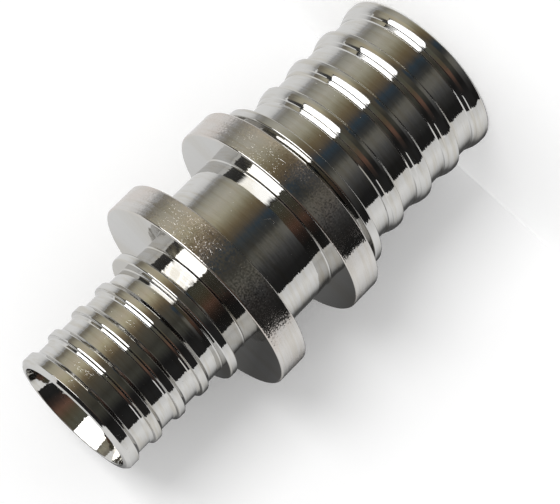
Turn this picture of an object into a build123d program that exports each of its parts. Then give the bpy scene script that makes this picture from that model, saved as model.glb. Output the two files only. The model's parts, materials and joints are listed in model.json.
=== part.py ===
"""Reducing coupling that joins two sizes of plastic pipe, turned from one bar of brass.

Each spigot goes inside a pipe, its ribs hold and seal it, and a sleeve pressed over the pipe stops
at the collar rib. The press tool's forks grip the waist between the two flanges.

All sizes are in millimetres. The part stands on the end of its large spigot: the origin is the
centre of that end face, and +Z runs along the bore to the end of the small spigot.
"""

from build123d import *
import os

# Flanges and waist
flange_d = 36.4
large_flange_t = 5.1
small_flange_t = 5.3
flange_edge = 0.3  # rounding of each flange's two edges
waist_d = 26.2
waist_length = 11.2
corner_r = 0.3  # rounding left by the tool tip where a shaft meets a wide face

# Large spigot
large_length = 30.0
large_crest_d = 29.2  # over the ribs
large_rib_height = 0.85
large_collar_rise = 1.4  # how far the collar rib stands out beyond the other ribs
large_wall = 2.05  # from the bore to the root between the ribs
large_collar_gap = 1.75  # from the flange to the collar rib
large_end_rib = 3.05  # from the spigot's end to the shoulder foot of its first rib
large_first_rib = 9.55  # from the spigot's end to the shoulder foot of the next rib
large_rib_pitch = 6.5
large_rib_count = 3  # ribs between the end rib and the collar rib
large_rib_width = 2.9
large_ramp_run = 0.45
large_shoulder_run = 1.2

# Small spigot
small_length = 25.75
small_crest_d = 22.4
small_rib_height = 0.7
small_collar_rise = 1.2
small_wall = 1.25
small_collar_gap = 3.35
small_end_rib = 2.95
small_first_rib = 5.6
small_rib_pitch = 5.0
small_rib_count = 3
small_rib_width = 2.25
small_ramp_run = 0.7
small_shoulder_run = 0.55
small_nose_width = 0.5  # chamfer at the spigot's end, on the radius and along the axis
small_nose_length = 0.5
small_face_rise = 0.15  # the end face rises this far from the chamfer to the mouth
small_nose_edge = 0.12

# Details shared by both spigots
collar_width = 1.6
collar_edge = 0.3
ramp_r = 0.2  # rounding of a rib's ramp, at its foot and at its crest
brow_share = 0.45  # part of a shoulder's slope taken up by the rounding at its crest
foot_share = 0.4  # part of it taken up by the hollow at its foot
large_end_r = 0.45  # outer rounding of the large spigot's end
mouth_edge = 0.2  # rounding of the taper's two edges
mouth_width = 0.7  # widening of each mouth, on the radius
mouth_depth = 3.5

# Bore
bore_step_above_flange = 1.0  # the wide bore runs this far past the large flange's outer face
bore_cone_length = 3.0

# Diameters and heights worked out from the sizes above
large_root_d = large_crest_d - 2 * large_rib_height
large_collar_d = large_crest_d + 2 * large_collar_rise
large_bore_d = large_root_d - 2 * large_wall
small_root_d = small_crest_d - 2 * small_rib_height
small_collar_d = small_crest_d + 2 * small_collar_rise
small_bore_d = small_root_d - 2 * small_wall
large_flange_bottom = large_length
large_flange_top = large_flange_bottom + large_flange_t
small_flange_bottom = large_flange_top + waist_length
small_flange_top = small_flange_bottom + small_flange_t
total_length = small_flange_top + small_length
cone_bottom = large_flange_bottom + bore_step_above_flange
cone_top = cone_bottom + bore_cone_length


def corner(diameter, height, rounding=0.0):
    """One corner of the turned outline: its place and the radius that rounds it."""
    return (diameter / 2, height, rounding)


def shoulder(foot, root_d, crest_d, run):
    """The gentle slope in front of a rib, from a round brow at the crest to a hollow foot.

    A rounding of radius R at a corner that turns by the angle t takes up R tan(t/2) of each side,
    and for a slope that rises by h over the run, tan(t/2) is h / (slope length + run).
    """
    rise = (crest_d - root_d) / 2
    slope = (run**2 + rise**2) ** 0.5
    whole_slope_r = slope * (slope + run) / rise
    return [
        corner(crest_d, foot - run, brow_share * whole_slope_r),
        corner(root_d, foot, foot_share * whole_slope_r),
    ]


def rib(foot, root_d, crest_d, width, ramp_run, shoulder_run):
    """A rib, from its ramp up to its shoulder: the shoulder faces the small spigot's end."""
    return [
        corner(root_d, foot - width, ramp_r),
        corner(crest_d, foot - width + ramp_run, ramp_r),
    ] + shoulder(foot, root_d, crest_d, shoulder_run)


def collar(bottom, root_d, collar_d):
    """The taller square rib beside a flange, which the sleeve stops at."""
    return [
        corner(root_d, bottom, corner_r),
        corner(collar_d, bottom, collar_edge),
        corner(collar_d, bottom + collar_width, collar_edge),
        corner(root_d, bottom + collar_width, corner_r),
    ]


def flange(bottom, thickness, shaft_below_d, shaft_above_d):
    """A flange with rounded edges, and the corners where the shafts on both sides meet it."""
    return [
        corner(shaft_below_d, bottom, corner_r),
        corner(flange_d, bottom, flange_edge),
        corner(flange_d, bottom + thickness, flange_edge),
        corner(shaft_above_d, bottom + thickness, corner_r),
    ]


def large_spigot():
    """Outline of the large spigot, from its end face up to its collar rib."""
    shape = (large_rib_width, large_ramp_run, large_shoulder_run)
    corners = [corner(large_crest_d, 0, large_end_r)]
    corners += shoulder(large_end_rib, large_root_d, large_crest_d, large_shoulder_run)
    for i in range(large_rib_count):
        foot = large_first_rib + i * large_rib_pitch
        corners += rib(foot, large_root_d, large_crest_d, *shape)
    bottom = large_flange_bottom - large_collar_gap - collar_width
    return corners + collar(bottom, large_root_d, large_collar_d)


def small_spigot():
    """Outline of the small spigot, from its collar rib up to its end face."""
    shape = (small_rib_width, small_ramp_run, small_shoulder_run)
    corners = collar(small_flange_top + small_collar_gap, small_root_d, small_collar_d)
    for i in reversed(range(small_rib_count)):
        foot = total_length - small_first_rib - i * small_rib_pitch
        corners += rib(foot, small_root_d, small_crest_d, *shape)
    return corners + [
        corner(small_root_d, total_length - small_end_rib, ramp_r),
        corner(small_crest_d, total_length - small_end_rib + small_ramp_run, ramp_r),
        corner(small_crest_d, total_length - small_face_rise - small_nose_length, small_nose_edge),
        corner(small_crest_d - 2 * small_nose_width, total_length - small_face_rise, small_nose_edge),
    ]


def bore():
    """Outline of the bore, from the small spigot's mouth down to the large spigot's mouth."""
    return [
        corner(small_bore_d + 2 * mouth_width, total_length, mouth_edge),
        corner(small_bore_d, total_length - mouth_depth, mouth_edge),
        corner(small_bore_d, cone_top),
        corner(large_bore_d, cone_bottom),
        corner(large_bore_d, mouth_depth, mouth_edge),
        corner(large_bore_d + 2 * mouth_width, 0, mouth_edge),
    ]


def coupling_body():
    """The whole fitting: one outline turned about the bore's axis."""
    corners = (
        large_spigot()
        + flange(large_flange_bottom, large_flange_t, large_root_d, waist_d)
        + flange(small_flange_bottom, small_flange_t, waist_d, small_root_d)
        + small_spigot()
        + bore()
    )
    points = [(radius, 0, height) for radius, height, _ in corners]
    roundings = [rounding for _, _, rounding in corners]
    outline = FilletPolyline(*points, radius=roundings, close=True)
    return revolve(make_face(outline.edges()), Axis.Z, 360)


os.makedirs("parts", exist_ok=True)
export_step(coupling_body(), "parts/coupling_body.step")
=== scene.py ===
# %% [markdown]
# # A nickel-plated reducing coupling
#
# The part joins a wide plastic pipe to a narrow one. It is one turned piece of brass: a large ribbed
# spigot, two round flanges with a plain waist between them, a small ribbed spigot, and a bore right
# through. The plate on it is almost a mirror, and a mirror shows every flat spot of a mesh. So the body
# is rebuilt here as a fine turned surface whose normals are worked out rather than averaged. The packed
# solid gives its width and its place, and the record gives its ribs, bores and waist.

import json
import math

import bpy
import numpy as np
from mathutils import Matrix, Vector

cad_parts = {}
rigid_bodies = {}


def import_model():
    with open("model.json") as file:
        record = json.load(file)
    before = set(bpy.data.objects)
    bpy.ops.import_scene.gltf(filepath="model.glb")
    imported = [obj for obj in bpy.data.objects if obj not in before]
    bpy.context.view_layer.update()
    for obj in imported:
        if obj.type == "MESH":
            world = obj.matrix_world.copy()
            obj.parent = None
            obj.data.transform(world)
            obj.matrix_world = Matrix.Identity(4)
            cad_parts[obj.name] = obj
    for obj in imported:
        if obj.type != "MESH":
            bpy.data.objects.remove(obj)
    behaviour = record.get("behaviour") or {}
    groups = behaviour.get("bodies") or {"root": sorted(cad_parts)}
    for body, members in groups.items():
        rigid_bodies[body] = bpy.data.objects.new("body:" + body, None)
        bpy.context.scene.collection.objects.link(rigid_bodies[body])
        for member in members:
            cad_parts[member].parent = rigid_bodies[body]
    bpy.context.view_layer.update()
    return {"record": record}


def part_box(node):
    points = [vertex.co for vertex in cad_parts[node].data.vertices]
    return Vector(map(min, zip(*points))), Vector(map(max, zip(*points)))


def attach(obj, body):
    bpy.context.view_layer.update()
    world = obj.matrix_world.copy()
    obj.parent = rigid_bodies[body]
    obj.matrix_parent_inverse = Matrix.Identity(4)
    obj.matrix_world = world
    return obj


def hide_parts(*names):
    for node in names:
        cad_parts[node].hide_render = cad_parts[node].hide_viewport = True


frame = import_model()
NODE = "coupling_body"
MM = 0.001
low, high = (np.array(corner, float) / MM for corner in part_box(NODE))
mounts = {mount["name"]: mount for mount in frame["record"]["mounts"]}

# %% [markdown]
# ## Sizes
#
# What the frame already states is read from it: the width over the flanges, both crest radii, both bore
# radii and the two faces of the waist. The rest are the cuts of the tool, in millimetres. Each spigot has
# its own set, because the small one was cut to a smaller pitch and with a steeper shoulder.

# %% Sizes read from the frame
flange_r = (high[0] - low[0]) / 2
small_crest_r = mounts["small_spigot"]["dims"]["r_mm"]
large_crest_r = mounts["large_spigot"]["dims"]["r_mm"]
small_bore_r = mounts["small_bore"]["dims"]["r_mm"]
large_bore_r = mounts["large_bore"]["dims"]["r_mm"]
waist_bottom = mounts["waist_face_large"]["pos_m"][2] / MM
waist_top = mounts["waist_face_small"]["pos_m"][2] / MM
print("waist from", round(waist_bottom, 2), "to", round(waist_top, 2), "flange radius", round(flange_r, 2))

# %% Sizes of the cuts, in millimetres
waist_r = 13.1
large_flange_bottom = 30.0
small_flange_top = 51.6
small_length = 25.75
total_length = small_flange_top + small_length
RIBS = 3
COLLAR_WIDTH = 1.6
TOOL_NOSE_R = 0.25  # left where a shaft meets a wide face
EDGE_R = 0.3
RAMP_R = 0.2
END_R = 0.4
STEP_RUN = 0.06  # half the length of the little step in a rib's shoulder
STEP_R = 0.08
TOE_LENGTH = 0.14  # the second step, down to the groove
TOE_R = 0.05
NOSE_WIDTH = 0.5  # chamfer at the small spigot's end
NOSE_LENGTH = 0.5
NOSE_R = 0.12
FACE_RISE = 0.15  # the small end face rises this far from its chamfer to the mouth
MOUTH_WIDTH = 0.7
MOUTH_DEPTH = 3.5
MOUTH_R = 0.2
CONE_RISE = 1.0  # the wide bore ends this far above the large flange's lower face
CONE_LENGTH = 3.0
CONE_BOTTOM = large_flange_bottom + CONE_RISE
CONE_TOP = CONE_BOTTOM + CONE_LENGTH
print("total length", total_length, "cone from", CONE_BOTTOM, "to", CONE_TOP)

# %% Sizes of the ribs on each spigot
# crest, root, collar, edge, ledge and toe are radii, and brow_r is a rounding. brow_slope is in degrees.
# The others are lengths along the axis. first_rib runs from the spigot's end to that rib's step. end_rib
# runs to the end rib's step on the large spigot, and to the foot of its ramp on the small one.
small = {
    "crest": small_crest_r,
    "root": 10.5,
    "collar": 12.4,
    "collar_gap": 3.35,
    "end_rib": 2.95,
    "first_rib": 5.85,
    "pitch": 5.0,
    "width": 2.0,
    "ramp": 0.7,
    "edge": 11.13,
    "ledge": 10.72,
    "toe": 10.63,
    "toe_run": 0.36,
    "brow_slope": 20.0,
    "brow_r": 1.05,
}
large = {
    "crest": large_crest_r,
    "root": 13.75,
    "collar": 16.0,
    "collar_gap": 1.75,
    "end_rib": 2.55,
    "first_rib": 9.05,
    "pitch": 6.5,
    "width": 2.4,
    "ramp": 0.45,
    "edge": 14.22,
    "ledge": 14.10,
    "toe": 13.94,
    "toe_run": 0.6,
    "brow_slope": 23.6,
    "brow_r": 3.4,
}
print("ribs between end and collar:", RIBS, "pitches:", small["pitch"], "and", large["pitch"])

# %% [markdown]
# ## Corners of the outline
#
# A lathe leaves an outline of straight cuts joined by small arcs: the round nose of the tool in every
# inner corner, and a light rounding on every outer one. A Bevel modifier could round the edges of a
# turned mesh, but each edge would need a weight of its own. So the outline is written as corners, each
# with the radius that rounds it. A rib on such a spigot has a steep ramp on the side that holds the pipe, and
# a gentle shoulder on the side that the pipe slides over. The shoulder was cut in two passes, which
# leaves a tiny sharp step halfway down and a second one at its foot. Those steps draw the two thin dark
# lines in front of each rib.


# %% Corners of a rib
def shoulder(step, cut):
    """Five corners in front of a rib: a gentle brow, a sharp little step, a ledge, and a second step.

    A slope of angle s that drops by h is h / tan(s) long along the axis.
    """
    brow = (cut["crest"] - cut["edge"]) / math.tan(math.radians(cut["brow_slope"]))
    toe = step + STEP_RUN + cut["toe_run"]
    return [
        (cut["crest"], step - STEP_RUN - brow, cut["brow_r"]),
        (cut["edge"], step - STEP_RUN, STEP_R),
        (cut["ledge"], step + STEP_RUN, STEP_R),
        (cut["toe"], toe, TOE_R),
        (cut["root"], toe + TOE_LENGTH, TOE_R),
    ]


def rib(step, cut):
    """Seven corners of one rib: up a ramp, along the crest, and down the shoulder."""
    ramp_foot = step - cut["width"]
    return [
        (cut["root"], ramp_foot, RAMP_R),
        (cut["crest"], ramp_foot + cut["ramp"], RAMP_R),
    ] + shoulder(step, cut)


print("corners of a rib:", len(rib(large["first_rib"], large)))

# %% Corners of a collar and of a flange
NECK_CUT = 0.08  # the tool cut a hair deeper beside a collar's front, and ran out again
NECK_LENGTH = 1.1
NECK_R = 5.0


def collar(bottom, cut):
    """Five corners of the tall square rib that stops the sleeve, with the deeper cut in front of it."""
    top = bottom + COLLAR_WIDTH
    return [
        (cut["root"], bottom, TOOL_NOSE_R),
        (cut["collar"], bottom, EDGE_R),
        (cut["collar"], top, EDGE_R),
        (cut["root"] - NECK_CUT, top, TOOL_NOSE_R),
        (cut["root"], top + NECK_LENGTH, NECK_R),
    ]


def flange(bottom, top, shaft_below, shaft_above):
    """Four corners of a flange between two shafts."""
    return [
        (shaft_below, bottom, TOOL_NOSE_R),
        (flange_r, bottom, EDGE_R),
        (flange_r, top, EDGE_R),
        (shaft_above, top, TOOL_NOSE_R),
    ]


sample_flange = flange(waist_top, small_flange_top, waist_r, small["root"])
print("corners of a collar:", len(collar(0.0, large)), "and of a flange:", len(sample_flange))

# %% [markdown]
# The corners run from the large end up to the small end and back down the bore, so the metal always lies
# on the left of the way. The waist and the small spigot's neck are a hair thinner right at the flanges,
# where the tool ran in. It is less than a fifth of a millimetre, and it tips the mirror by three degrees,
# which makes the bright blocks beside the flanges longer.

# %% The whole outline
WAIST_CUT = 0.14  # the waist starts this much thinner above the large flange
WAIST_RUN = 2.5  # and has its full radius from here
WAIST_R = 20.0
SMALL_NECK_CUT = 0.18


def outer_corners():
    """Corners (radius, height, rounding) of the outside, from the large end to the small end."""
    corners = [(large["crest"], 0.0, END_R)] + shoulder(large["end_rib"], large)
    for i in range(RIBS):
        corners += rib(large["first_rib"] + i * large["pitch"], large)
    corners += collar(large_flange_bottom - large["collar_gap"] - COLLAR_WIDTH, large)
    corners += flange(large_flange_bottom, waist_bottom, large["root"], waist_r - WAIST_CUT)
    corners += [(waist_r, waist_bottom + WAIST_RUN, WAIST_R)]
    corners += flange(waist_top, small_flange_top, waist_r, small["root"] - SMALL_NECK_CUT)
    corners += collar(small_flange_top + small["collar_gap"], small)
    for i in reversed(range(RIBS)):
        corners += rib(total_length - small["first_rib"] - i * small["pitch"], small)
    ramp_foot = total_length - small["end_rib"]
    face = total_length - FACE_RISE
    return corners + [
        (small["root"], ramp_foot, RAMP_R),
        (small["crest"], ramp_foot + small["ramp"], RAMP_R),
        (small["crest"], face - NOSE_LENGTH, NOSE_R),
        (small["crest"] - NOSE_WIDTH, face, NOSE_R),
    ]


def bore_corners():
    """Corners of the bore, from the small mouth down to the large mouth."""
    return [
        (small_bore_r + MOUTH_WIDTH, total_length, MOUTH_R),
        (small_bore_r, total_length - MOUTH_DEPTH, EDGE_R),
        (small_bore_r, CONE_TOP, EDGE_R),
        (large_bore_r, CONE_BOTTOM, EDGE_R),
        (large_bore_r, MOUTH_DEPTH, EDGE_R),
        (large_bore_r + MOUTH_WIDTH, 0.0, EDGE_R),
    ]


outer = np.array(outer_corners())
bore = np.array(bore_corners())
print("corners outside:", len(outer), "corners of the bore:", len(bore))

# %% [markdown]
# ## From corners to a smooth outline
#
# An arc of radius R that rounds a corner starts R tan(turn / 2) before it and ends as far behind it. Its
# points and its normals both come from the same angle. Smooth shading would average the normals of the
# faces round each point, and long cuts would look bent beside the small arcs. Here a plain cut gets the
# same normal at both ends, so it stays dead straight in the mirror and meets the curve without a crease.

# %% Round the corners
ARC_STEPS = 5


def rounded(corners, steps=ARC_STEPS):
    """Points and outward normals of a closed outline, each an array of (radius, height) pairs.

    At each corner the way turns by an angle t. The arc starts R tan(t/2) before the corner. Its point at
    share k of the turn is start + R (sin(kt) along the way in + (1 - cos(kt)) across it), and its normal
    is the way there, turned a quarter to the right.
    """
    place, radius = corners[:, :2], corners[:, 2]
    into = place - np.roll(place, 1, axis=0)
    into /= np.linalg.norm(into, axis=1, keepdims=True)
    out = np.roll(into, -1, axis=0)
    cross = into[:, 0] * out[:, 1] - into[:, 1] * out[:, 0]
    turn = np.arctan2(cross, (into * out).sum(axis=1))
    start = place - into * (radius * np.tan(np.abs(turn) / 2))[:, None]
    left = np.stack([-into[:, 1], into[:, 0]], axis=1) * np.sign(turn)[:, None]
    angle = np.abs(turn)[:, None] * np.linspace(0, 1, steps)[None, :]
    along = (radius[:, None] * np.sin(angle))[:, :, None] * into[:, None, :]
    across = (radius[:, None] * (1 - np.cos(angle)))[:, :, None] * left[:, None, :]
    points = start[:, None, :] + along + across
    way = np.cos(angle)[:, :, None] * into[:, None, :] + np.sin(angle)[:, :, None] * left[:, None, :]
    normals = np.stack([way[:, :, 1], -way[:, :, 0]], axis=2)
    return points.reshape(-1, 2), normals.reshape(-1, 2)


profile, profile_normal = rounded(np.concatenate([outer, bore]))
outside = profile[: len(outer) * ARC_STEPS]
print("points in the outline:", len(profile), "least radius:", profile[:, 0].min().round(2))

# %% [markdown]
# ## Turn the outline about the bore's axis
#
# Each point of the outline is carried round the axis in equal steps. The Screw modifier does the same to
# an edge, but a grid worked out as arrays keeps the normals from above. The grid closes both ways, like
# the surface of a ring, so the mesh has no open edge and no cap.

# %% The turned surface
COLUMNS = 288


def turned(pairs, columns=COLUMNS):
    """Carry (radius, height) pairs round the axis: at step j the angle is 2 pi j / columns."""
    angle = 2 * np.pi * np.arange(columns) / columns
    height = np.broadcast_to(pairs[:, 1:2], (len(pairs), columns))
    x = pairs[:, 0:1] * np.cos(angle)
    y = pairs[:, 0:1] * np.sin(angle)
    return np.stack([x, y, height], axis=2).reshape(-1, 3)


def ring_grid_quads(rows, columns):
    """Four-sided faces of a grid that closes on itself both ways.

    Face (i, j) joins points (i, j), (i, j + 1), (i + 1, j + 1) and (i + 1, j), which faces outwards.
    """
    i, j = np.meshgrid(np.arange(rows), np.arange(columns), indexing="ij")
    next_i, next_j = (i + 1) % rows, (j + 1) % columns
    a, b = i * columns + j, i * columns + next_j
    c, d = next_i * columns + next_j, next_i * columns + j
    return np.stack([a, b, c, d], axis=2).reshape(-1, 4)


body_points = turned(profile)
body_normals = turned(profile_normal)
body_quads = ring_grid_quads(len(profile), COLUMNS)
print("body: points", len(body_points), "triangles", 2 * len(body_quads))

# %% [markdown]
# ## Handling marks
#
# The plate was knocked and dragged in a bin of other fittings. Each mark on it is a thin burr: metal
# pushed up beside a scratch, about a tenth of a millimetre wide and two hundredths high. It shows only
# because its two flanks tip the mirror far enough to catch the lamp or the dark room. A bump in the
# material could tip it too, but would be missing from the mesh. So a mark is real geometry: a thread
# with three sides that follows a line on the outside and fades out at both ends.
# Lines are given as (angle in degrees from the front, height in millimetres). A scuff is a patch of
# many short marks, strewn from a fixed seed.

# %% Lines of the single marks
MARKS = {
    "small flange rim": [
        [(-10.7, 47.4), (-12.7, 48.0), (-11.0, 48.6)],
    ],
    "large flange rim": [
        [(17.0, 32.0), (17.3, 33.0), (16.8, 34.05)],
        [(12.5, 31.9), (17.5, 32.1)],
    ],
    "waist": [
        [(-4.5, 38.4), (-3.0, 38.1), (-0.5, 38.2), (1.25, 38.6), (2.5, 39.1)],
        [(24.6, 40.0), (25.4, 40.2)],
        [(15.1, 38.3), (15.8, 38.5)],
        [(-58.4, 42.8), (-57.6, 43.0)],
        [(-57.9, 40.8), (-57.1, 41.0)],
    ],
    "large spigot": [
        [(18.75, 24.7), (18.9, 25.5)],
        [(-5.5, 19.3), (-5.7, 20.5)],
        [(-6.0, 21.4), (-6.1, 21.9)],
        [(3.75, 20.7), (4.1, 20.2), (5.0, 19.8)],
        [(43.0, 16.5), (43.6, 16.9), (44.6, 17.0), (45.0, 17.3)],
        [(25.6, 11.2), (26.4, 11.4)],
        [(43.7, 11.1), (44.4, 11.3)],
        [(37.0, 10.1), (36.9, 9.6), (37.9, 9.4)],
        [(10.2, 15.0), (10.8, 15.2)],
        [(-11.4, 1.9), (-10.6, 2.1)],
    ],
    "small spigot": [
        [(-48.6, 60.6), (-47.4, 60.8)],
        [(-47.6, 63.4), (-46.4, 63.6)],
        [(40.5, 63.6), (41.5, 63.8)],
        [(5.8, 68.5), (6.9, 68.7)],
        [(12.0, 70.3), (13.1, 70.5)],
        [(3.1, 70.8), (3.4, 71.1)],
    ],
}
print("single marks:", sum(len(lines) for lines in MARKS.values()))

# %% Patches of scuffs
# angles, heights, how many, longest in millimetres, size beside a single mark
SCUFFS = {
    "small flange rim": ((6, 40), (46.9, 51.2), 300, 0.32, 1.0),
    "small flange rim, sparse": ((-32, 60), (46.8, 51.2), 90, 0.25, 0.9),
    "large flange rim": ((8, 42), (31.2, 34.8), 190, 0.32, 0.95),
    "large flange rim, sparse": ((-34, 60), (30.6, 34.7), 110, 0.25, 0.85),
    "waist": ((-32, 46), (36.0, 45.4), 60, 0.2, 0.8),
    "large spigot": ((-30, 60), (2.8, 27.5), 80, 0.2, 0.8),
    "small spigot": ((-30, 60), (56.6, 76.0), 70, 0.2, 0.8),
    "small spigot, behind its second rib": ((15, 25), (62.9, 63.6), 7, 0.8, 0.8),
    "small spigot, third groove": ((14, 23), (68.3, 68.8), 6, 0.8, 0.8),
    "small spigot, last crest": ((9, 31), (72.6, 73.6), 34, 0.6, 0.8),
    "small spigot, nose": ((15, 22), (74.7, 76.0), 24, 0.6, 0.8),
    "small spigot, far edge": ((-60, -25), (75.9, 76.6), 24, 0.8, 0.8),
}
print("patches:", len(SCUFFS), "scuffs in them:", sum(patch[2] for patch in SCUFFS.values()))

# %% Stations along a line on the surface
MARK_STEP = 0.12  # distance between two stations of a thread
FEWEST_STATIONS = 4


def outside_radius(height):
    """Radius of the outside at a height, on the straight way between two points of the outline."""
    order = np.argsort(outside[:, 1], kind="stable")
    return np.interp(height, outside[order, 1], outside[order, 0])


def stations(line):
    """Evenly spaced points (angle in radians, height) along a line given in degrees and millimetres."""
    line = np.array(line, float)
    line[:, 0] = np.radians(line[:, 0])
    flat = line * [outside_radius(line[:, 1].mean()), 1.0]
    way = np.concatenate([[0], np.cumsum(np.linalg.norm(np.diff(flat, axis=0), axis=1))])
    count = max(FEWEST_STATIONS, int(way[-1] / MARK_STEP) + 1)
    at = np.linspace(0, way[-1], count)
    return np.interp(at, way, line[:, 0]), np.interp(at, way, line[:, 1])


print("stations on the first mark of the waist:", len(stations(MARKS["waist"][0])[0]))

# %% Threads
MARK_WIDTH = 0.13
MARK_HEIGHT = 0.022
SUNK = 0.02  # the thread's two lower edges lie this far inside the metal
FADE_FROM, FADE_TO = 0.04, 0.96  # shares of the fade at the first and the last station


def thread(line, size=1.0):
    """Points, normals and triangles of one mark.

    At each station stand a left foot, a crest and a right foot. The crest lies MARK_HEIGHT above the
    surface and the feet lie SUNK below it; their distance apart is MARK_WIDTH sqrt(sin(pi k)) at share k.
    Width and height are multiplied by the size.
    """
    angle, height = stations(line)
    up = np.stack([np.sin(angle), -np.cos(angle), np.zeros_like(angle)], axis=1)
    centre = up * outside_radius(height)[:, None] + np.stack([0 * angle, 0 * angle, height], axis=1)
    ahead = np.gradient(centre, axis=0)
    ahead /= np.linalg.norm(ahead, axis=1, keepdims=True)
    side = np.cross(ahead, up)
    side /= np.linalg.norm(side, axis=1, keepdims=True)
    share = np.linspace(FADE_FROM, FADE_TO, len(angle))
    fade = np.sqrt(np.sin(np.pi * share))[:, None]
    reach = side * (MARK_WIDTH * size / 2) * fade
    crest = centre + up * (MARK_HEIGHT * size * fade)
    ring = np.stack([centre - reach - up * SUNK, crest, centre + reach - up * SUNK], axis=1)
    tipped = np.stack([up - side, up, up + side], axis=1)
    tipped /= np.linalg.norm(tipped, axis=2, keepdims=True)
    i, k = np.meshgrid(np.arange(len(angle) - 1), np.arange(3), indexing="ij")
    a, b = i * 3 + k, i * 3 + (k + 1) % 3
    sides = np.concatenate([np.stack([a, b, b + 3], -1), np.stack([a, b + 3, a + 3], -1)]).reshape(-1, 3)
    last = 3 * (len(angle) - 1)
    caps = np.array([[0, 2, 1], [last, last + 1, last + 2]])
    return ring.reshape(-1, 3), tipped.reshape(-1, 3), np.concatenate([sides, caps])


threads = [thread(line) for group in MARKS.values() for line in group]
print("threads of the single marks:", len(threads))

# %% Scuffs
SEED = 7
SCUFF_SHORTEST = 0.08
LEAN = 0.9  # radians between a scuff and the way round, on average, and how far it strays
LEAN_SPREAD = 0.9
BOW = 0.08  # how far the middle of a scuff strays, as a share of its length
BOW_STRETCH = [4, 1]  # on the angle, in degrees, and on the height, in millimetres


def scuff(angles, heights, count, longest, rng):
    """Short lines strewn over a patch, most of them along the way that the part was dragged.

    A line of length l and lean a runs l cos(a) round the part and l sin(a) along it.
    """
    lines = []
    for _ in range(count):
        start = np.array([rng.uniform(*angles), rng.uniform(*heights)])
        length = rng.uniform(SCUFF_SHORTEST, longest)
        lean = rng.normal(LEAN, LEAN_SPREAD)
        across = math.degrees(length * math.cos(lean) / outside_radius(start[1]))
        along = length * math.sin(lean)
        end = start + [across, along]
        end[1] = min(max(end[1], heights[0]), heights[1])
        bow = (start + end) / 2 + rng.normal(0, BOW * length, 2) * BOW_STRETCH
        lines.append([start, bow, end])
    return lines


rng = np.random.default_rng(SEED)
for angles, heights, count, longest, size in SCUFFS.values():
    threads += [thread(line, size) for line in scuff(angles, heights, count, longest, rng)]
print("marks:", len(threads), "triangles:", sum(len(part[2]) for part in threads))

# %% [markdown]
# ## One mesh
#
# The body and its marks are one piece of metal, so they go into one mesh. from_pydata would take lists of
# points and faces. foreach_set takes whole arrays and is much quicker on this many points. The normals go
# in with the points: a mesh made by a formula knows them exactly.


# %% Join and fill
def filled_mesh(name, points, quads, triangles=None, normals=None):
    """A smooth mesh of four-sided and three-sided faces, with its normals where they are given."""
    triangles = np.empty((0, 3), int) if triangles is None else triangles
    corners = np.concatenate([quads.ravel(), triangles.ravel()]).astype(np.int32)
    sides = np.concatenate([np.full(len(quads), 4), np.full(len(triangles), 3)])
    mesh = bpy.data.meshes.new(name)
    mesh.vertices.add(len(points))
    mesh.vertices.foreach_set("co", points.astype(np.float32).ravel())
    mesh.loops.add(len(corners))
    mesh.loops.foreach_set("vertex_index", corners)
    mesh.polygons.add(len(sides))
    mesh.polygons.foreach_set("loop_start", (np.cumsum(sides) - sides).astype(np.int32))
    mesh.update(calc_edges=True)
    mesh.validate()
    mesh.shade_smooth()
    if normals is not None:
        mesh.normals_split_custom_set_from_vertices(normals.tolist())
    return mesh


def in_scene(name, data):
    """An object at the origin that shows the mesh, the lamp or the camera."""
    obj = bpy.data.objects.new(name, data)
    bpy.context.collection.objects.link(obj)
    return obj


counts = [len(part[0]) for part in threads]
first_points = len(body_points) + np.cumsum([0] + counts[:-1])
all_points = np.concatenate([body_points] + [part[0] for part in threads])
all_normals = np.concatenate([body_normals] + [part[1] for part in threads])
mark_triangles = np.concatenate([part[2] + start for part, start in zip(threads, first_points)])
coupling = in_scene(
    "coupling",
    filled_mesh("coupling", all_points * MM, body_quads, mark_triangles, all_normals),
)
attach(coupling, "root")
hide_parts(NODE)
print("triangles in all:", 2 * len(body_quads) + len(mark_triangles))

# %% [markdown]
# ## Nickel plate
#
# Bright nickel is a warm grey mirror. The turning lines of the tool still show through it as rings a
# quarter of a millimetre apart, it is a little wavy where it was polished, and the rims of the flanges,
# which rub on everything, are dull and pitted. All of this tips the mirror without giving it a shape
# that could be felt. A Bump node would take heights and leave the angles to chance. So the normal is
# tipped directly, by the surface normal plus a small part of a noise, and each strength is an angle.


# %% A material and its nodes
def new_material(name):
    """An empty node material and its tree."""
    material = bpy.data.materials.new(name)
    material.use_nodes = True
    material.node_tree.nodes.clear()
    return material, material.node_tree


def add(tree, kind, inputs=None, **settings):
    """A node of that kind. Each input is linked when it is a socket and set when it is a value."""
    node = tree.nodes.new(kind)
    for key, value in settings.items():
        setattr(node, key, value)
    for key, value in (inputs or {}).items():
        if isinstance(value, bpy.types.NodeSocket):
            tree.links.new(value, node.inputs[key])
        else:
            node.inputs[key].default_value = value
    return node


def finish_material(tree, shader):
    """Send a shader to the output."""
    add(tree, "ShaderNodeOutputMaterial", {"Surface": shader})


print("helpers:", [helper.__name__ for helper in (new_material, add, finish_material)])


# %% Arithmetic in nodes
def calc(tree, operation, *values):
    """The result of one step of arithmetic."""
    return add(tree, "ShaderNodeMath", dict(enumerate(values)), operation=operation).outputs[0]


def length_of(tree, x, y):
    """Length sqrt(x^2 + y^2)."""
    squares = calc(tree, "ADD", calc(tree, "MULTIPLY", x, x), calc(tree, "MULTIPLY", y, y))
    return calc(tree, "SQRT", squares)


def vector(tree, operation, *values):
    """The vector that one step of vector arithmetic gives."""
    return add(tree, "ShaderNodeVectorMath", dict(enumerate(values)), operation=operation).outputs[0]


def eased(tree, value, start, end, low=0.0, high=1.0):
    """low + (high - low) k^2 (3 - 2k), where k is the value's share of the way from start to end."""
    inputs = {0: value, 1: start, 2: end, 3: low, 4: high}
    return add(tree, "ShaderNodeMapRange", inputs, interpolation_type="SMOOTHSTEP").outputs[0]


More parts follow.
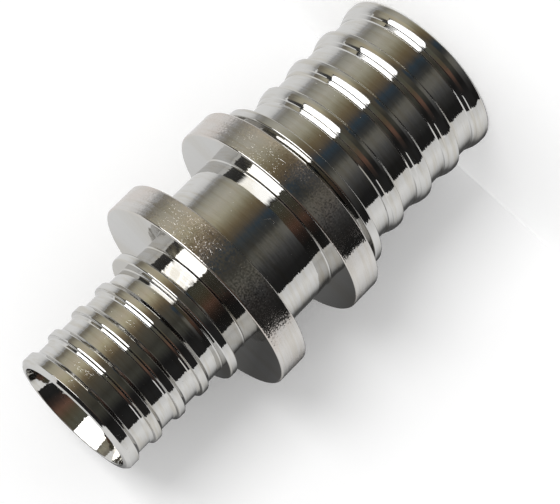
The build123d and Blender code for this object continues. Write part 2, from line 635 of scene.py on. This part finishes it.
def straight(tree, value, start, end, low=0.0, high=1.0):
    """low + (high - low) k, where k is the value's share of the way from start to end."""
    return add(tree, "ShaderNodeMapRange", {0: value, 1: start, 2: end, 3: low, 4: high}).outputs[0]


print("helpers:", [helper.__name__ for helper in (calc, length_of, vector, eased, straight)])

# %% Noise, colour and tilt in nodes
HALF = (0.5, 0.5, 0.5)


def noise(tree, place, scale, detail=2.0):
    """A noise texture: output 0 is its value and output 1 three values at once."""
    inputs = {"Vector": place, "Scale": scale, "Detail": detail}
    return add(tree, "ShaderNodeTexNoise", inputs).outputs


def tilt(tree, outputs, strength):
    """A noise's three values less a half, times a strength: a vector of three, or a number's socket."""
    centred = vector(tree, "SUBTRACT", outputs[1], HALF)
    if isinstance(strength, bpy.types.NodeSocket):
        strength = add(tree, "ShaderNodeCombineXYZ", {0: strength, 1: strength, 2: strength}).outputs[0]
    return vector(tree, "MULTIPLY", centred, strength)


def least_and_more(tree, least, share, more):
    """least + share x more."""
    return calc(tree, "ADD", least, calc(tree, "MULTIPLY", share, more))


def blend(tree, share, first_color, second_color):
    """One colour at share 0 and the other at share 1."""
    inputs = {0: share, 6: first_color, 7: second_color}
    return add(tree, "ShaderNodeMix", inputs, data_type="RGBA").outputs[2]


print("helpers:", [helper.__name__ for helper in (noise, tilt, least_and_more, blend)])

# %% Colours of the plate and where it is worn
BRIGHT = (0.62, 0.615, 0.60, 1)
DULLED = (0.50, 0.46, 0.38, 1)
WORN = (0.66, 0.595, 0.55, 1)
EDGE_TINT = (0.86, 0.86, 0.86, 1)  # what is left of the mirror's brightness at a grazing angle
MOST_DULLED = 0.45  # share of the dull colour in the dullest rings
MOST_WORN = 0.5  # share of the worn colour where a rim is fully rubbed
RIM_FROM = (flange_r - 0.32) * MM  # only the flanges' rims reach this far from the axis
RIM_TO = (flange_r - 0.20) * MM
RIM_RUB = 0.35  # how far a rim is rubbed everywhere, besides its patches
LIP_FADE = 0.1 * MM
LIP_R = (small_bore_r + MOUTH_WIDTH) * MM + LIP_FADE
LUMPS_FROM, LUMPS_FULL = -1.0, 0.5  # millimetres from the inner end of the small mouth's taper
MOUTH_SPAN = [(total_length - MOUTH_DEPTH + at) * MM for at in (LUMPS_FROM, LUMPS_FULL)]
# values of a noise between which an effect goes from none to full
PATCH_SPAN = (0.42, 0.62)
DULL_SPAN = (0.42, 0.70)
POLISH_SPAN = (0.3, 0.7)
print("the mouth is lumpy above", round(MOUTH_SPAN[0] / MM, 2), "mm")

# %% Sizes and strengths of the plate's unevenness
RING_TURNS = 5.0
RINGS_PER_METRE = 4200.0
PATCHES_PER_METRE = 140.0
WAVES_PER_METRE = 600.0
GRAINS_PER_METRE = 3600.0
SMEAR_SCALE = 0.35  # smears are rings this much coarser
FINE, FINER = 3.0, 4.0  # octaves of a noise, where two aren't enough
# tilts of the normal, as parts of its length
RING_TILT = (0.08, 0.08, 0.045)
WAVE_TILT = 0.020
LUMP_TILT = 0.60
GRAIN_TILT = 0.016
PIT_TILT = 0.30
# roughness, from the best polish to the worst, and what a rubbed rim adds
BEST_POLISH, WORST_POLISH = 0.035, 0.07
RIM_ROUGHNESS = 0.10
print("rings", round(1000 / RINGS_PER_METRE, 2), "mm apart, grain", round(1000 / GRAINS_PER_METRE, 2), "mm")


# %% The plate's material
def nickel_plate():
    """Mirror whose normal is N + rings (noise on (x/r, y/r, z)) + waves + grain, each a small part."""
    material, tree = new_material("nickel_plate")
    place = add(tree, "ShaderNodeTexCoord").outputs["Object"]
    x, y, z = add(tree, "ShaderNodeSeparateXYZ", {0: place}).outputs
    radius = length_of(tree, x, y)
    turn = calc(tree, "DIVIDE", RING_TURNS, radius)
    ring_x = calc(tree, "MULTIPLY", x, turn)
    ring_y = calc(tree, "MULTIPLY", y, turn)
    ring_z = calc(tree, "MULTIPLY", z, RINGS_PER_METRE)
    ring_place = add(tree, "ShaderNodeCombineXYZ", {0: ring_x, 1: ring_y, 2: ring_z}).outputs[0]

    rim = straight(tree, radius, RIM_FROM, RIM_TO)
    patches = noise(tree, place, PATCHES_PER_METRE, FINE)[0]
    rub = eased(tree, patches, *PATCH_SPAN)
    rim_rub = calc(tree, "MULTIPLY", rim, calc(tree, "ADD", RIM_RUB, rub))
    in_bore = straight(tree, radius, LIP_R + LIP_FADE, LIP_R)
    in_mouth = calc(tree, "MULTIPLY", in_bore, eased(tree, z, *MOUTH_SPAN))
    lumps = calc(tree, "MULTIPLY", in_mouth, rub)

    rings = tilt(tree, noise(tree, ring_place, 1.0, FINE), RING_TILT)
    wave_strength = least_and_more(tree, WAVE_TILT, lumps, LUMP_TILT)
    waves = tilt(tree, noise(tree, place, WAVES_PER_METRE), wave_strength)
    grain_strength = least_and_more(tree, GRAIN_TILT, rim_rub, PIT_TILT)
    grain = tilt(tree, noise(tree, place, GRAINS_PER_METRE), grain_strength)
    normal = add(tree, "ShaderNodeNewGeometry").outputs["Normal"]
    tipped = vector(tree, "ADD", vector(tree, "ADD", normal, rings), vector(tree, "ADD", waves, grain))

    smear = noise(tree, ring_place, SMEAR_SCALE, FINER)[0]
    dull = eased(tree, smear, *DULL_SPAN, 0.0, MOST_DULLED)
    color = blend(tree, dull, BRIGHT, DULLED)
    color = blend(tree, calc(tree, "MULTIPLY", rim_rub, MOST_WORN), color, WORN)
    polish = straight(tree, patches, *POLISH_SPAN, BEST_POLISH, WORST_POLISH)
    inputs = {
        "Base Color": color,
        "Metallic": 1.0,
        "Roughness": least_and_more(tree, polish, rim_rub, RIM_ROUGHNESS),
        "Specular Tint": EDGE_TINT,
        "Normal": vector(tree, "NORMALIZE", tipped),
    }
    finish_material(tree, add(tree, "ShaderNodeBsdfPrincipled", inputs).outputs[0])
    return material


coupling.data.materials.append(nickel_plate())
print("nickel plate with", len(coupling.data.materials[0].node_tree.nodes), "nodes")

# %% [markdown]
# ## Camera
#
# The fitting lies on white paper and is looked at from above. In its own frame it stands upright, so the
# same view is a long lens that looks along +Y, tips down a little and rolls by three eighths of a turn.
# Three rotation angles could say that, but their order is easy to mix up. So the camera's right, up and
# back are worked out as three directions and put into its matrix.

# %% Place the camera
LENS = 139.4
ELEVATION = math.radians(16.363)
ROLL = math.radians(-135.311)
DISTANCE = 0.33128
AIM = np.array([-0.00446, 0.0, 0.03694])
SENSOR = 36
CLIP_START = 0.01


def camera_axes(elevation, roll):
    """The camera's right, up and back: it looks along +Y, is tipped down by the elevation, then rolled.

    right = cos(roll) level + sin(roll) upright, and up = right x ahead.
    """
    ahead = np.array([0, math.cos(elevation), -math.sin(elevation)])
    level = np.array([1.0, 0, 0])
    upright = np.cross(level, ahead)
    right = math.cos(roll) * level + math.sin(roll) * upright
    return right, np.cross(right, ahead), -ahead


def turn_and_put(obj, right, up, back, position):
    """Turn an object to three directions and put it at a position."""
    turned_to = Matrix((right, up, back)).transposed().to_4x4()
    turned_to.translation = Vector(position)
    obj.matrix_world = turned_to


right, up, back = camera_axes(ELEVATION, ROLL)
camera = in_scene("camera", bpy.data.cameras.new("camera"))
camera.data.lens = LENS
camera.data.sensor_width = SENSOR
camera.data.clip_start = CLIP_START
turn_and_put(camera, right, up, back, AIM + DISTANCE * back)
bpy.context.scene.camera = camera
bpy.context.scene.view_settings.view_transform = "Standard"
print("camera at", np.round(camera.matrix_world.translation, 3), "lens", LENS)

# %% [markdown]
# ## Paper
#
# The sheet that the fitting lies on touches both flanges, so here it stands upright behind the part,
# a tenth of a millimetre clear of them and turned seven degrees. A plain floor closes the picture below.
# The plate shows the paper at its sides, and its own shadow on the paper as a dark band beside the
# outline. The lamp's own shadow could be mirrored there, but its place and depth would follow the lamp.
# So the mirrored paper and the shadow on it are painted as a ramp across the sheet, and both can
# be set by themselves.

# %% Sizes and brightness of the paper
PAPER = (0.96, 0.96, 0.96, 1)
WHITE = (1, 1, 1, 1)
SHEET_LIFT = 0.055  # white added to the sheet for the camera only
FLOOR_LIFT = 0.215  # and to the floor, which the low lamp lights less
PAPER_TURN = math.radians(7)
PAPER_GAP = 0.1 * MM
ACROSS = np.array([math.cos(PAPER_TURN), math.sin(PAPER_TURN), 0])
BEHIND = np.array([-math.sin(PAPER_TURN), math.cos(PAPER_TURN), 0])
SHADOW_NARROWS_FROM = 44 * MM
SHADOW_NARROWS_BY = 0.44
LIT_SIDE = (-6 * MM, 6 * MM)  # the lamp's side starts here, and nothing moves on it
SHADOW_ENDS = (80 * MM, 90 * MM)  # no shadow on the sheet past the small end
CLEAR_PAPER = (0.95, 0.95, 0.95, 1)
# place across the sheet in millimetres, and the painted light of the mirrored paper there, its shadow too
MIRRORED_PAPER_PAINTED_SHADE = [
    (-300, 0.80),
    (-115, 0.87),
    (-68, 0.97),
    (-55, 0.95),
    (-48, 0.91),
    (-40, 0.86),
    (-34.5, 0.76),
    (-29, 0.56),
    (-25.5, 0.33),
    (-22.5, 0.12),
    (-18, 0.08),
    (-12, 0.14),
    (-2, 0.14),
    (4, 0.50),
    (10, 0.82),
    (17, 0.86),
    (24, 0.93),
    (32, 0.98),
    (62, 0.96),
    (85, 0.90),
    (135, 0.80),
    (210, 0.62),
    (330, 0.42),
]
darkest = min(MIRRORED_PAPER_PAINTED_SHADE, key=lambda stop: stop[1])
print("the mirrored paper is darkest", darkest[0], "mm across, at", darkest[1])


# %% A ramp, a mix and a glow in nodes
def ramp(tree, value, stops):
    """Colour by a value: each stop is (value, colour or grey), and colours change evenly between stops.

    The place of a stop on the ramp is (value - first) / (last - first).
    """
    first_stop, last_stop = stops[0][0], stops[-1][0]
    share = straight(tree, value, first_stop, last_stop)
    node = add(tree, "ShaderNodeValToRGB", {0: share})
    elements = node.color_ramp.elements
    for at, color in stops:
        position = (at - first_stop) / (last_stop - first_stop)
        if at == first_stop:
            element = elements[0]
        elif at == last_stop:
            element = elements[len(elements) - 1]
        else:
            element = elements.new(position)
        element.position = position
        element.color = (*(color if isinstance(color, tuple) else (color,) * 3), 1)
    return node.outputs[0]


def mix_shader(tree, share, first_shader, second_shader):
    """One shader at share 0 and the other at share 1."""
    return add(tree, "ShaderNodeMixShader", {0: share, 1: first_shader, 2: second_shader}).outputs[0]


def emission(tree, color, strength=1.0):
    """A plain glow."""
    return add(tree, "ShaderNodeEmission", {"Color": color, "Strength": strength}).outputs[0]


print("helpers:", [helper.__name__ for helper in (ramp, mix_shader, emission)])


# %% Paper seen directly, and paper seen in the plate
def lifted_paper(tree, rays, lift):
    """Lit paper plus a little white of its own, which only the camera sees."""
    lit = add(tree, "ShaderNodeBsdfDiffuse", {"Color": PAPER}).outputs[0]
    own = emission(tree, WHITE, calc(tree, "MULTIPLY", rays["Is Camera Ray"], lift))
    return add(tree, "ShaderNodeAddShader", {0: lit, 1: own}).outputs[0]


def floor_paper():
    """Plain white paper."""
    material, tree = new_material("floor_paper")
    rays = add(tree, "ShaderNodeLightPath").outputs
    finish_material(tree, lifted_paper(tree, rays, FLOOR_LIFT))
    return material


def backdrop_paper():
    """White paper: lit where it is seen directly, painted light and shadow where it is mirrored, clear from
    its back.

    The place on the ramp is x cos(7) + y sin(7), less 0.44 of the height above 44 mm on the shaded side.
    Past the small end the sheet is clear of the shadow.
    """
    material, tree = new_material("backdrop_paper")
    place = add(tree, "ShaderNodeTexCoord").outputs["Object"]
    product = add(tree, "ShaderNodeVectorMath", {0: place, 1: tuple(ACROSS)}, operation="DOT_PRODUCT")
    height = add(tree, "ShaderNodeSeparateXYZ", {0: place}).outputs[2]
    above = calc(tree, "MAXIMUM", calc(tree, "SUBTRACT", height, SHADOW_NARROWS_FROM), 0.0)
    shaded_side = eased(tree, product.outputs["Value"], *LIT_SIDE, 1.0, 0.0)
    moved = calc(tree, "MULTIPLY", calc(tree, "MULTIPLY", above, SHADOW_NARROWS_BY), shaded_side)
    across = calc(tree, "SUBTRACT", product.outputs["Value"], moved)
    # The mirrored paper's light, and the part's shadow on it, are painted here as a ramp of greys.
    shaded = ramp(tree, across, [(at * MM, grey) for at, grey in MIRRORED_PAPER_PAINTED_SHADE])
    past_top = eased(tree, height, *SHADOW_ENDS)
    mirrored = emission(tree, blend(tree, past_top, shaded, CLEAR_PAPER))
    rays = add(tree, "ShaderNodeLightPath").outputs
    front = mix_shader(tree, rays["Is Glossy Ray"], lifted_paper(tree, rays, SHEET_LIFT), mirrored)
    from_back = add(tree, "ShaderNodeNewGeometry").outputs["Backfacing"]
    clear = add(tree, "ShaderNodeBsdfTransparent").outputs[0]
    finish_material(tree, mix_shader(tree, from_back, front, clear))
    return material


papers = {"floor": floor_paper(), "backdrop": backdrop_paper()}
print("papers:", list(papers))

# %% The two sheets
FLOOR_REACH = 4.0
SHEET_REACH = 1.5


def sheet(name, corners, material):
    """A flat four-cornered sheet that belongs to the scene and not to the part."""
    mesh = bpy.data.meshes.new(name)
    mesh.from_pydata([tuple(corner) for corner in corners], [], [(0, 1, 2, 3)])
    mesh.materials.append(material)
    obj = in_scene(name, mesh)
    return obj


def rectangle(middle, along, up):
    """Corners of a rectangle about its middle: middle +- along +- up."""
    return [middle - along - up, middle + along - up, middle + along + up, middle - along + up]


east = np.array([FLOOR_REACH, 0, 0])
north = np.array([0, FLOOR_REACH, 0])
floor = sheet("floor", rectangle(np.zeros(3), east, north), papers["floor"])
floor.visible_glossy = False
floor.visible_diffuse = False
floor.visible_shadow = False
floor.visible_transmission = False
middle = BEHIND * (flange_r * MM + PAPER_GAP)
upward = np.array([0, 0, SHEET_REACH])
sheet("backdrop", rectangle(middle, ACROSS * SHEET_REACH, upward), papers["backdrop"])
print("paper behind the part at", np.round(middle / MM, 2), "mm")

# %% [markdown]
# ## Light
#
# One large lamp stands to the right, low and far away, and makes the soft shadow on the paper. The white
# blocks on the metal are the front of its soft box. The lamp itself would be mirrored too, but then one
# strength would have to suit both the paper and the blocks. So the blocks are panels that only the plate
# can see. Directions are an azimuth, which turns from the camera's side
# towards +X, and an elevation above the floor.

# %% Directions and the lamp
LIGHT_CENTRE = np.array([0, 0, 0.045])


def direction(azimuth, elevation):
    """Unit vector (sin a cos e, -cos a cos e, sin e), for numbers or whole arrays, in radians."""
    level = np.cos(elevation)
    return np.stack([np.sin(azimuth) * level, -np.cos(azimuth) * level, np.sin(elevation)], axis=-1)


def lamp(name, azimuth, elevation, distance, width, height, radiance):
    """A rectangular lamp that faces the part's middle; its power is radiance x pi x its area."""
    toward = direction(math.radians(azimuth), math.radians(elevation))
    light = bpy.data.lights.new(name, "AREA")
    light.shape = "RECTANGLE"
    light.size = width
    light.size_y = height
    light.energy = radiance * math.pi * width * height
    obj = in_scene(name, light)
    sideways = np.cross((0, 0, 1), toward)
    sideways /= np.linalg.norm(sideways)
    turn_and_put(obj, sideways, np.cross(toward, sideways), toward, toward * distance + LIGHT_CENTRE)
    return obj


key_lamp = lamp("key_lamp", azimuth=33, elevation=12, distance=3.0, width=1.5, height=1.25, radiance=6.5)
print("lamp at", np.round(key_lamp.matrix_world.translation, 2), "power", round(key_lamp.data.energy, 1))


# %% Parts of a sphere that only the plate sees
def shell(name, azimuths, elevations, distance, steps, material):
    """Part of a sphere about the origin, seen only by the plate: direction times distance on a grid."""
    azimuth = np.radians(np.linspace(*azimuths, steps[0]))
    elevation = np.radians(np.linspace(*elevations, steps[1]))
    points = direction(*np.meshgrid(azimuth, elevation, indexing="ij")) * distance
    i, j = np.meshgrid(np.arange(steps[0] - 1), np.arange(steps[1] - 1), indexing="ij")
    a = i * steps[1] + j
    quads = np.stack([a, a + 1, a + steps[1] + 1, a + steps[1]], axis=2).reshape(-1, 4)
    mesh = filled_mesh(name, points.reshape(-1, 3), quads)
    mesh.materials.append(material)
    obj = in_scene(name, mesh)
    obj.visible_camera = False
    obj.visible_diffuse = False
    obj.visible_shadow = False
    return obj


print("helpers:", [helper.__name__ for helper in (direction, shell)])


# %% The panels
def azimuth_of(tree, x, y):
    """Azimuth atan2(x, -y) in degrees."""
    return calc(tree, "DEGREES", calc(tree, "ARCTAN2", x, calc(tree, "MULTIPLY", y, -1.0)))


def glow(name, azimuths, strength, fade):
    """A white panel whose glow fades in and out over `fade` degrees at its two sides."""
    material, tree = new_material(name)
    place = add(tree, "ShaderNodeTexCoord").outputs["Object"]
    x, y, _ = add(tree, "ShaderNodeSeparateXYZ", {0: place}).outputs
    azimuth = azimuth_of(tree, x, y)
    rise = eased(tree, azimuth, azimuths[0], azimuths[0] + fade)
    fall = eased(tree, azimuth, azimuths[1], azimuths[1] - fade)
    share = calc(tree, "MULTIPLY", rise, fall)
    finish_material(tree, emission(tree, WHITE, calc(tree, "MULTIPLY", share, strength)))
    return material


PANEL_R = 1.3
PANEL_STEPS = (13, 7)
# azimuths, elevations, strength, fade: the middle of the box is bright and sharp, the rest is softer
PANELS = {
    "foot_panel": ((14, 73), (1, 4), 0.8, 14),
    "low_panel": ((14, 73), (4, 9), 2.8, 5),
    "middle_panel": ((15, 72), (9, 21), 3.8, 1),
    "high_panel": ((13, 73), (21, 28), 2.6, 10),
    "top_panel": ((10, 73), (28, 42), 2.6, 14),
}
for name, (azimuths, elevations, strength, fade) in PANELS.items():
    shell(name, azimuths, elevations, PANEL_R, PANEL_STEPS, glow(name, azimuths, strength, fade))
print("panels:", list(PANELS))

# %% [markdown]
# ## The room in the plate
#
# Between the lamp and the paper the plate shows the room: dark on the left, brown where a shelf and a
# ceiling are near the front, and warm grey towards the right. A picture of a room on the world would do
# it in one step. Rings of colour need no file and can be tuned one by one: the room changes with the
# azimuth, the rings lie one above the other, and each runs softly into the next.

# %% The two lower rings of colour, by azimuth in degrees
LOW_RING = [
    (-90, 0.014),
    (-66, 0.017),
    (-50, 0.042),
    (-38, 0.085),
    (-26, (0.155, 0.15, 0.135)),
    (-17, (0.155, 0.15, 0.13)),
    (-8, (0.062, 0.062, 0.058)),
    (0, (0.038, 0.044, 0.050)),
    (9, (0.040, 0.060, 0.080)),
    (14, 0.07),
    (20, (0.125, 0.10, 0.07)),
    (30, (0.19, 0.15, 0.09)),
    (40, (0.28, 0.25, 0.17)),
    (52, (0.45, 0.43, 0.34)),
    (68, (0.53, 0.51, 0.44)),
    (84, (0.39, 0.38, 0.33)),
    (91, (0.31, 0.30, 0.27)),
    (97, (0.38, 0.37, 0.35)),
    (100, (0.40, 0.39, 0.37)),
]
HIGH_RING = [
    (-90, 0.02),
    (-66, 0.022),
    (-45, 0.014),
    (-38, 0.02),
    (-22, (0.062, 0.062, 0.052)),
    (-10, (0.052, 0.050, 0.042)),
    (2, (0.078, 0.074, 0.060)),
    (14, (0.095, 0.085, 0.066)),
    (24, (0.12, 0.10, 0.07)),
    (34, (0.24, 0.19, 0.12)),
    (50, (0.55, 0.50, 0.35)),
    (62, (0.59, 0.53, 0.41)),
    (80, (0.47, 0.44, 0.34)),
    (92, (0.24, 0.22, 0.18)),
    (100, (0.25, 0.23, 0.19)),
]
print("stops:", len(LOW_RING), "in the lowest ring,", len(HIGH_RING), "in the next")

# %% The two upper rings and the top
UPPER_RING = [
    (-90, 0.03),
    (-60, 0.02),
    (-44, (0.05, 0.035, 0.03)),
    (-28, (0.16, 0.09, 0.065)),
    (-12, (0.11, 0.09, 0.06)),
    (4, (0.11, 0.11, 0.085)),
    (20, (0.10, 0.10, 0.08)),
    (80, 0.06),
    (100, 0.10),
]
ROOF_RING = [
    (-90, 0.02),
    (-44, 0.02),
    (-25, (0.10, 0.06, 0.05)),
    (-8, (0.30, 0.20, 0.17)),
    (6, (0.45, 0.40, 0.36)),
    (20, 0.10),
    (100, 0.06),
]
TOP = (0.02, 0.02, 0.02, 1)
# elevations in degrees over which each ring takes over from the one below it
LAYERS = [
    ((-17.0, -10.0), HIGH_RING),
    ((9.0, 14.0), UPPER_RING),
    ((28.0, 34.0), ROOF_RING),
]
TOP_FROM, TOP_TO = 48.0, 54.0
print("layers of colour:", len(LAYERS) + 2)


# %% The room
def room_material():
    """Glow by direction: azimuth is atan2(x, -y) and elevation is atan2(z, sqrt(x^2 + y^2))."""
    material, tree = new_material("room")
    place = add(tree, "ShaderNodeTexCoord").outputs["Object"]
    x, y, z = add(tree, "ShaderNodeSeparateXYZ", {0: place}).outputs
    azimuth = azimuth_of(tree, x, y)
    elevation = calc(tree, "DEGREES", calc(tree, "ARCTAN2", z, length_of(tree, x, y)))
    color = ramp(tree, azimuth, LOW_RING)
    for (start, end), ring in LAYERS:
        color = blend(tree, eased(tree, elevation, start, end), color, ramp(tree, azimuth, ring))
    color = blend(tree, eased(tree, elevation, TOP_FROM, TOP_TO), color, TOP)
    finish_material(tree, emission(tree, color))
    return material


ROOM_R = 1.6
ROOM_AZIMUTHS = (-85, 99)  # past both ends of the sheet behind the part, so that no gap is mirrored
ROOM_ELEVATIONS = (-88, 89)
ROOM_STEPS = (73, 49)
shell("room", ROOM_AZIMUTHS, ROOM_ELEVATIONS, ROOM_R, ROOM_STEPS, room_material())
print("room of radius", ROOM_R, "m between azimuths", ROOM_AZIMUTHS)

# %% [markdown]
# ## World
#
# The world is plain white to the camera and in the plate. At full strength it would wash out the lamp's
# shadow, so its light on the paper is weaker, and the shadow stays as deep as one on white paper is.

# %% World light
AMBIENT = 0.72
world = bpy.data.worlds.new("world")
bpy.context.scene.world = world
world.use_nodes = True
tree = world.node_tree
tree.nodes.clear()
rays = add(tree, "ShaderNodeLightPath").outputs
sharp = calc(tree, "MAXIMUM", rays["Is Glossy Ray"], rays["Is Transmission Ray"])
seen = calc(tree, "MAXIMUM", rays["Is Camera Ray"], sharp)
strength = straight(tree, seen, 0.0, 1.0, AMBIENT, 1.0)
background = add(tree, "ShaderNodeBackground", {"Color": WHITE, "Strength": strength})
add(tree, "ShaderNodeOutputWorld", {"Surface": background.outputs[0]})
print("light from the world on the paper:", AMBIENT)
